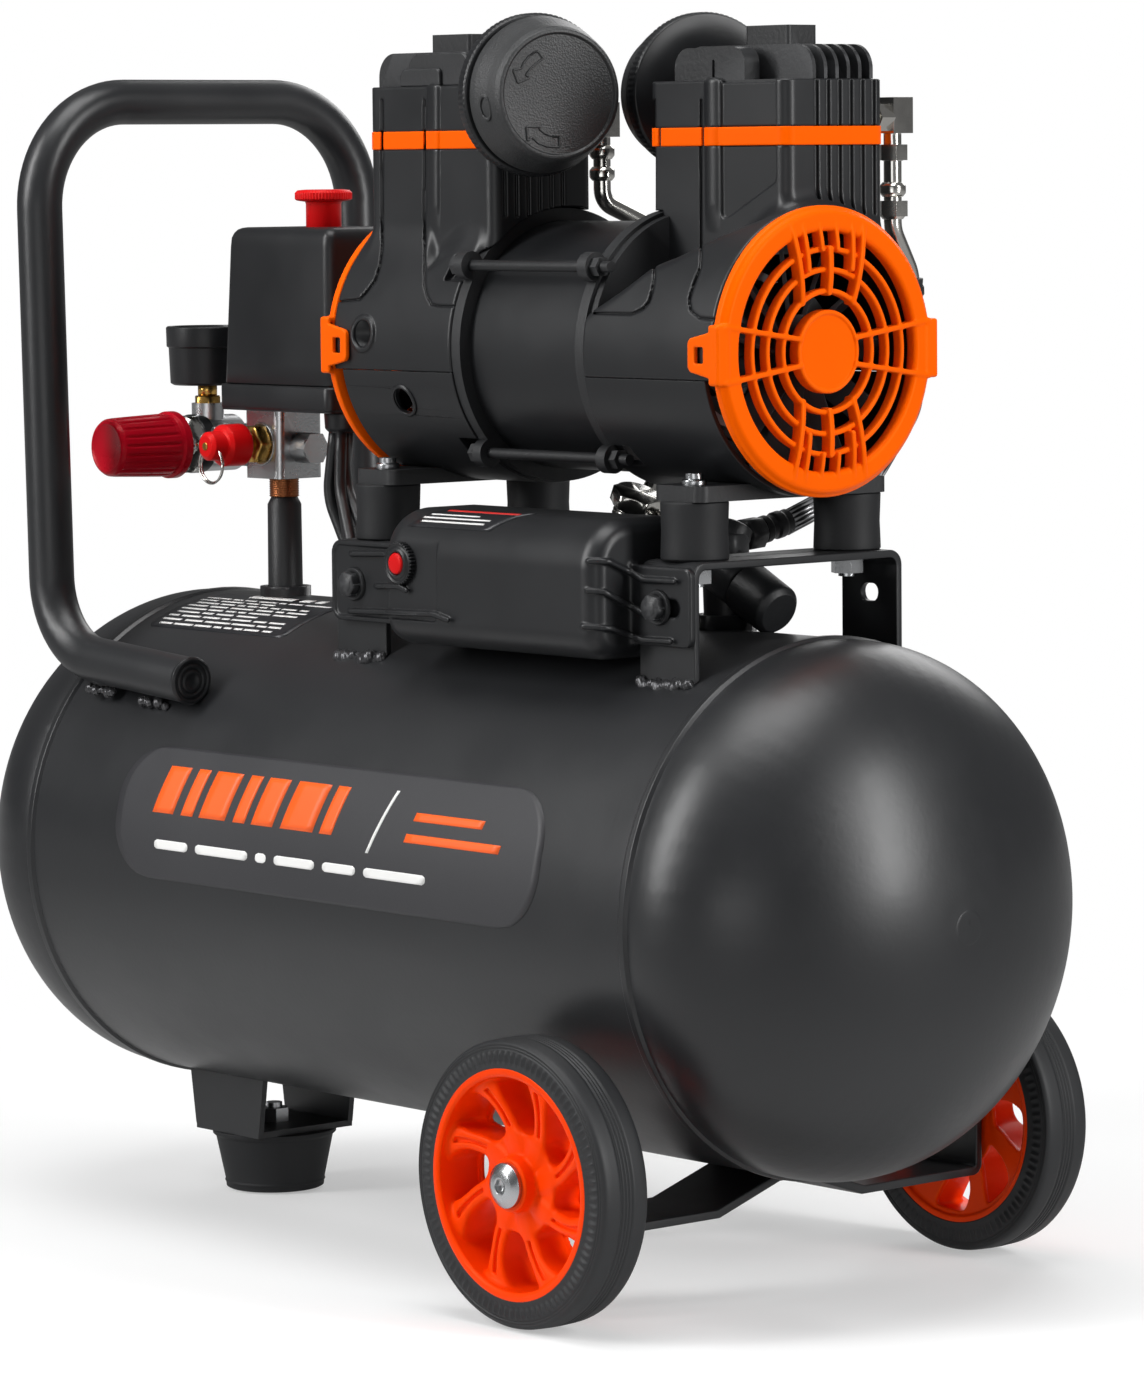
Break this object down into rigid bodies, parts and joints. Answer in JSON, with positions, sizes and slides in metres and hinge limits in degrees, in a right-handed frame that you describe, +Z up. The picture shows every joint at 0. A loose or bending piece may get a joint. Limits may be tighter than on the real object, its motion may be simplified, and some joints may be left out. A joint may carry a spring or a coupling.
{
  "type": "portable air compressor",
  "caption": "Oil-free twin-cylinder air compressor on a horizontal receiver with a tube handle, two wheels, a rubber foot, a pressure switch, a regulator and a gauge.",
  "frame": {"origin": "on the floor under the middle of the receiver, on its symmetry plane", "axes": "+X along the receiver towards the wheels, -Y the side with the capacitor box, +Z up"},
  "size_m": [0.616, 0.3038, 0.5725],
  "materials": {
    "black_coat": "satin charcoal black powder coat",
    "black_plastic": "satin moulded black plastic",
    "grey_plastic": "fine textured black plastic",
    "orange_plastic": "bright orange moulded plastic",
    "rim_plastic": "red orange moulded nylon",
    "red_plastic": "glossy red plastic",
    "crimson_plastic": "glossy crimson plastic",
    "tyre_rubber": "moulded black rubber tyre",
    "rubber": "black natural rubber",
    "zinc": "bright zinc and nickel plate",
    "steel": "plain steel",
    "black_steel": "black oxide steel",
    "aluminium": "as-cast aluminium",
    "black_casting": "black painted aluminium casting",
    "brass": "machined brass",
    "copper": "enamelled copper winding",
    "fan_plastic": "dark fan nylon",
    "foam": "open cell filter foam",
    "capacitor_can": "drawn aluminium can"
  },
  "bodies": {
    "frame": {"axle_bracket": "black_coat", "bracket_fasteners": "steel", "cables": "rubber", "capacitor": "capacitor_can", "capacitor_cover": "black_plastic", "check_valve": "black_steel", "crankcases": "black_casting", "cylinder_heads": "black_plastic", "cylinder_liners": "aluminium", "discharge_lines": "zinc", "drain_valve_body": "brass", "fan_guard_front": "orange_plastic", "fan_guard_rear": "orange_plastic", "filter_elements": "foam", "filter_housings": "grey_plastic", "foot_bracket": "black_coat", "gauge_case": "grey_plastic", "handle_end_plugs": "grey_plastic", "handle_tube": "black_coat", "head_cover_front": "black_plastic", "head_cover_rear": "black_plastic", "lower_covers": "black_plastic", "manifold": "zinc", "regulator_body": "zinc", "riser_pipe": "black_steel", "rubber_foot": "rubber", "rubber_mounts": "rubber", "saddle_bracket_front": "black_coat", "saddle_bracket_rear": "black_coat", "safety_valve": "brass", "shaft_bearings": "steel", "stator_core": "steel", "stator_sleeve": "black_steel", "switch_base": "grey_plastic", "switch_cover": "grey_plastic", "tank_head_front": "black_coat", "tank_head_rear": "black_coat", "tank_shell": "black_coat", "tie_bolts": "black_steel", "trim_bands": "orange_plastic", "weld_beads": "black_coat", "wheel_bolts": "zinc", "winding_coils": "copper"},
    "near_wheel": {"tyre_near": "tyre_rubber", "wheel_near": "rim_plastic"},
    "far_wheel": {"tyre_far": "tyre_rubber", "wheel_far": "rim_plastic"},
    "rotor": {"motor_shaft": "steel", "rotor_core": "steel", "cooling_fans": "fan_plastic"},
    "front_piston": {"piston_front": "aluminium"},
    "rear_piston": {"piston_rear": "aluminium"},
    "front_filter_cap": {"filter_cap_front": "grey_plastic"},
    "rear_filter_cap": {"filter_cap_rear": "grey_plastic"},
    "pressure_switch_knob": {"switch_knob": "red_plastic"},
    "regulator_dial": {"regulator_knob": "crimson_plastic"},
    "needle": {"gauge_needle": "red_plastic"},
    "relief_pull": {"safety_pull": "red_plastic"},
    "reset": {"reset_button": "red_plastic"},
    "drain_knob": {"drain_valve_knob": "brass"}
  },
  "joints": [
    {"name": "near_wheel_spin", "type": "hinge", "parent": "frame", "child": "near_wheel", "pos_m": [0.1726, -0.134, 0.06375], "axis": [0, 1, 0], "continuous": true},
    {"name": "far_wheel_spin", "type": "hinge", "parent": "frame", "child": "far_wheel", "pos_m": [0.1726, 0.134, 0.06375], "axis": [0, 1, 0], "continuous": true},
    {"name": "rotor_spin", "type": "hinge", "parent": "frame", "child": "rotor", "pos_m": [0.084, 0, 0.4217], "axis": [1, 0, 0], "continuous": true},
    {"name": "front_piston_stroke", "type": "slide", "parent": "frame", "child": "front_piston", "axis": [0, 0, 1], "range_m": [-0.008, 0.008]},
    {"name": "rear_piston_stroke", "type": "slide", "parent": "frame", "child": "rear_piston", "axis": [0, 0, 1], "range_m": [-0.008, 0.008]},
    {"name": "front_filter_cap_twist", "type": "hinge", "parent": "frame", "child": "front_filter_cap", "pos_m": [0.108, 0.032, 0.536], "axis": [-0.9579, 0.2873, 0], "range_deg": [0, 25]},
    {"name": "rear_filter_cap_twist", "type": "hinge", "parent": "frame", "child": "rear_filter_cap", "pos_m": [0.06, -0.032, 0.536], "axis": [0.9579, -0.2873, 0], "range_deg": [0, 25]},
    {"name": "switch_knob_push", "type": "slide", "parent": "frame", "child": "pressure_switch_knob", "axis": [0, 0, 1], "range_m": [-0.008, 0]},
    {"name": "regulator_knob_turn", "type": "hinge", "parent": "frame", "child": "regulator_dial", "pos_m": [-0.229, -0.045, 0.368], "axis": [0, -1, 0], "range_deg": [0, 1080]},
    {"name": "gauge_needle_swing", "type": "hinge", "parent": "frame", "child": "needle", "pos_m": [-0.229, 0, 0.4177], "axis": [0, 0, -1], "range_deg": [0, 270]},
    {"name": "relief_ring_pull", "type": "slide", "parent": "frame", "child": "relief_pull", "axis": [0, -1, 0], "range_m": [0, 0.003]},
    {"name": "reset_button_press", "type": "slide", "parent": "frame", "child": "reset", "axis": [0, 1, 0], "range_m": [0, 0.0025]},
    {"name": "drain_knob_turn", "type": "hinge", "parent": "frame", "child": "drain_knob", "pos_m": [0.02, 0, 0.03], "axis": [0, 0, 1], "range_deg": [0, 360]}
  ],
  "couplings": [
    {"joint": "rear_piston_stroke", "follows": "front_piston_stroke", "ratio": -1}
  ]
}
